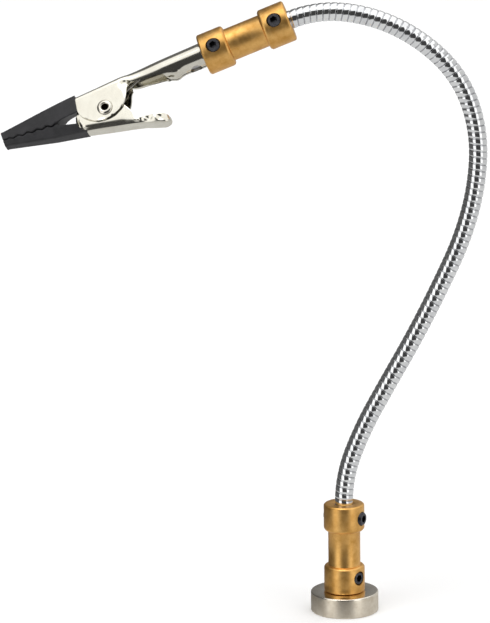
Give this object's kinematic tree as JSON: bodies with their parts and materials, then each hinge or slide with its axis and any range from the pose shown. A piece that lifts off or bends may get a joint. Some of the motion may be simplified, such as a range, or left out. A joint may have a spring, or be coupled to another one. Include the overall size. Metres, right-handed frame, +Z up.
{
  "type": "flexible magnetic third-hand arm with clip",
  "caption": "Bendable gooseneck arm held up by a round magnet foot, with brass couplers and a sleeved, sprung alligator clip for holding small work.",
  "frame": {"origin": "centre of the magnet's underside, on the axis of the foot coupler", "axes": "+Z up along the foot coupler's axis out of the resting face; the arm bends in the XZ plane, first to +X and then over to -X; the clip points to -X and its near cheek faces -Y"},
  "size_m": [0.1051, 0.0155, 0.1361],
  "materials": {
    "magnet_nickel": "tumbled nickel plate over sintered neodymium, satin",
    "foot_screw_steel": "zinc-plated steel screw",
    "coupler_brass": "turned brass, bright",
    "grub_black_steel": "black-oxide alloy steel",
    "neck_chrome": "mirror chrome plate",
    "neck_wire_steel": "polished plated steel wire",
    "jaw_nickel": "bright nickel plate over pressed steel sheet",
    "rivet_nickel": "nickel-plated tubular rivet",
    "spring_steel": "plated spring wire",
    "stud_steel": "plain steel pin",
    "sleeve_grey": "matte dark grey heat-shrink polyolefin"
  },
  "bodies": {
    "foot": {"foot_magnet": "magnet_nickel", "foot_screw": "foot_screw_steel", "foot_coupler": "coupler_brass", "foot_grub_screws": "grub_black_steel", "neck_grub_screws": "grub_black_steel"},
    "neck_01": {"neck_flat_wire_01": "neck_chrome", "neck_round_wire_01": "neck_wire_steel"},
    "neck_02": {"neck_flat_wire_02": "neck_chrome", "neck_round_wire_02": "neck_wire_steel"},
    "neck_03": {"neck_flat_wire_03": "neck_chrome", "neck_round_wire_03": "neck_wire_steel"},
    "neck_04": {"neck_flat_wire_04": "neck_chrome", "neck_round_wire_04": "neck_wire_steel"},
    "neck_05": {"neck_flat_wire_05": "neck_chrome", "neck_round_wire_05": "neck_wire_steel"},
    "neck_06": {"neck_flat_wire_06": "neck_chrome", "neck_round_wire_06": "neck_wire_steel"},
    "neck_07": {"neck_flat_wire_07": "neck_chrome", "neck_round_wire_07": "neck_wire_steel"},
    "neck_08": {"neck_flat_wire_08": "neck_chrome", "neck_round_wire_08": "neck_wire_steel"},
    "neck_09": {"neck_flat_wire_09": "neck_chrome", "neck_round_wire_09": "neck_wire_steel"},
    "neck_10": {"neck_flat_wire_10": "neck_chrome", "neck_round_wire_10": "neck_wire_steel"},
    "neck_11": {"neck_flat_wire_11": "neck_chrome", "neck_round_wire_11": "neck_wire_steel"},
    "neck_12": {"neck_flat_wire_12": "neck_chrome", "neck_round_wire_12": "neck_wire_steel", "clip_coupler": "coupler_brass", "neck_end_grub_screws": "grub_black_steel", "clip_grub_screws": "grub_black_steel"},
    "clip": {"clip_stud": "stud_steel", "upper_jaw": "jaw_nickel", "pivot_rivet": "rivet_nickel", "jaw_spring": "spring_steel", "upper_jaw_sleeve": "sleeve_grey"},
    "moving_jaw": {"lower_jaw": "jaw_nickel", "lower_jaw_sleeve": "sleeve_grey"}
  },
  "joints": [
    {"name": "arm_swivel", "type": "hinge", "parent": "foot", "child": "neck_01", "pos_m": [0, 0, 0.0245], "axis": [0, 0, 1], "continuous": true},
    {"name": "neck_bend_1", "type": "hinge", "parent": "neck_01", "child": "neck_02", "pos_m": [0.00216, 0, 0.03614], "axis": [0, -1, 0], "range_deg": [-12, 12]},
    {"name": "neck_sway_1", "type": "hinge", "parent": "neck_02", "child": "neck_03", "pos_m": [0.00718, 0, 0.04691], "axis": [-0.8746, 0, 0.4848], "range_deg": [-12, 12]},
    {"name": "neck_bend_2", "type": "hinge", "parent": "neck_03", "child": "neck_04", "pos_m": [0.013, 0, 0.05729], "axis": [0, -1, 0], "range_deg": [-12, 12]},
    {"name": "neck_sway_2", "type": "hinge", "parent": "neck_04", "child": "neck_05", "pos_m": [0.0186, 0, 0.06779], "axis": [-0.8934, 0, 0.4493], "range_deg": [-12, 12]},
    {"name": "neck_bend_3", "type": "hinge", "parent": "neck_05", "child": "neck_06", "pos_m": [0.02376, 0, 0.07851], "axis": [0, -1, 0], "range_deg": [-12, 12]},
    {"name": "neck_sway_3", "type": "hinge", "parent": "neck_06", "child": "neck_07", "pos_m": [0.02779, 0, 0.0897], "axis": [-0.9664, 0, 0.2571], "range_deg": [-12, 12]},
    {"name": "neck_bend_4", "type": "hinge", "parent": "neck_07", "child": "neck_08", "pos_m": [0.02956, 0, 0.10144], "axis": [0, -1, 0], "range_deg": [-12, 12]},
    {"name": "neck_sway_4", "type": "hinge", "parent": "neck_08", "child": "neck_09", "pos_m": [0.02792, 0, 0.11316], "axis": [-0.9494, 0, -0.314], "range_deg": [-12, 12]},
    {"name": "neck_bend_5", "type": "hinge", "parent": "neck_09", "child": "neck_10", "pos_m": [0.02176, 0, 0.12322], "axis": [0, -1, 0], "range_deg": [-12, 12]},
    {"name": "neck_sway_5", "type": "hinge", "parent": "neck_10", "child": "neck_11", "pos_m": [0.01218, 0, 0.13018], "axis": [-0.4478, 0, -0.8942], "range_deg": [-12, 12]},
    {"name": "neck_bend_6", "type": "hinge", "parent": "neck_11", "child": "neck_12", "pos_m": [0.00084, 0, 0.13359], "axis": [0, -1, 0], "range_deg": [-12, 12]},
    {"name": "clip_swivel", "type": "hinge", "parent": "neck_12", "child": "clip", "pos_m": [-0.02944, 0, 0.12471], "axis": [-0.9298, 0, -0.3681], "continuous": true},
    {"name": "jaw_hinge", "type": "hinge", "parent": "clip", "child": "moving_jaw", "pos_m": [-0.05008, -0.00229, 0.11301], "axis": [-0.2111, -0.8192, 0.5333], "range_deg": [0, 27], "stiffness_Nm_per_rad": 0.05, "springref_deg": -68.75, "deforming": ["jaw_spring"]}
  ]
}
